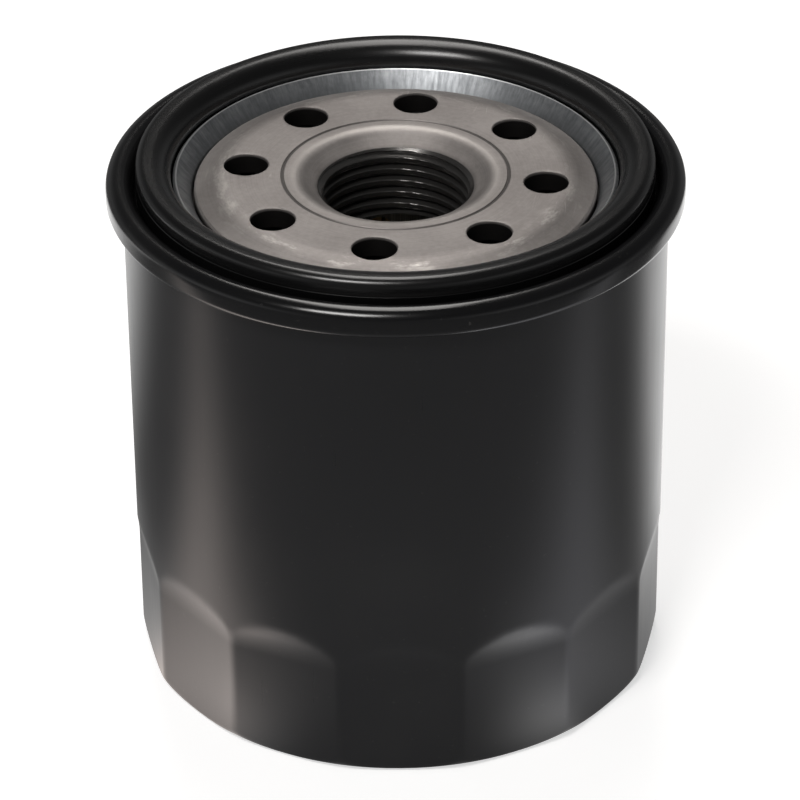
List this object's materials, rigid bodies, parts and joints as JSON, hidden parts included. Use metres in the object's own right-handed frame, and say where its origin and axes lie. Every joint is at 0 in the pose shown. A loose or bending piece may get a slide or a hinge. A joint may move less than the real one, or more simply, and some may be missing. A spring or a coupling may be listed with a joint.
{
  "type": "oil filter",
  "caption": "Spin-on engine oil filter: fluted steel can, rolled lid seam, ring gasket and a tapped base plate with inlet holes round a threaded collar, over a sprung pleated element.",
  "frame": {"origin": "centre of the closed end, on the surface that the filter stands on", "axes": "+Z is the filter's axis and points out of the mounting face; +Y points at one inlet hole"},
  "size_m": [0.07, 0.07, 0.0688],
  "materials": {
    "black_paint": "satin",
    "zinc_sheet": "satin",
    "plate_steel": "matt",
    "gasket_rubber": "satin",
    "seam_compound": "matt",
    "valve_rubber": "matt",
    "cap_steel": "satin",
    "potting": "matt",
    "filter_paper": "matt",
    "tube_steel": "satin",
    "spring_steel": "satin"
  },
  "bodies": {
    "housing": {"housing_can": "black_paint", "seaming_lid": "zinc_sheet", "base_plate": "plate_steel", "sealing_gasket": "gasket_rubber", "seam_sealant": "seam_compound", "anti_drain_valve": "valve_rubber", "element_spring": "spring_steel", "spring_seat": "cap_steel"},
    "element": {"upper_end_cap": "cap_steel", "lower_end_cap": "cap_steel", "upper_potting": "potting", "lower_potting": "potting", "pleated_media": "filter_paper", "media_seam_clip": "cap_steel", "centre_tube": "tube_steel", "bypass_seat": "cap_steel", "bypass_cage": "cap_steel", "bypass_spring": "spring_steel"},
    "bypass_valve": {"bypass_poppet": "cap_steel", "bypass_seal": "valve_rubber"},
    "drain_lip": {"anti_drain_lip": "valve_rubber"}
  },
  "joints": [
    {"name": "element_float", "type": "slide", "parent": "housing", "child": "element", "axis": [0, 0, -1], "range_m": [0, 0.0015], "stiffness_N_per_m": 4000, "springref_m": -0.003, "deforming": ["element_spring"]},
    {"name": "bypass_open", "type": "slide", "parent": "element", "child": "bypass_valve", "axis": [0, 0, 1], "range_m": [0, 0.0025], "stiffness_N_per_m": 1500, "springref_m": -0.003, "deforming": ["bypass_spring"]},
    {"name": "drain_valve_open", "type": "slide", "parent": "housing", "child": "drain_lip", "axis": [0, 0, -1], "range_m": [0, 0.0012], "stiffness_N_per_m": 500, "springref_m": -0.001, "deforming": ["anti_drain_valve"]}
  ]
}
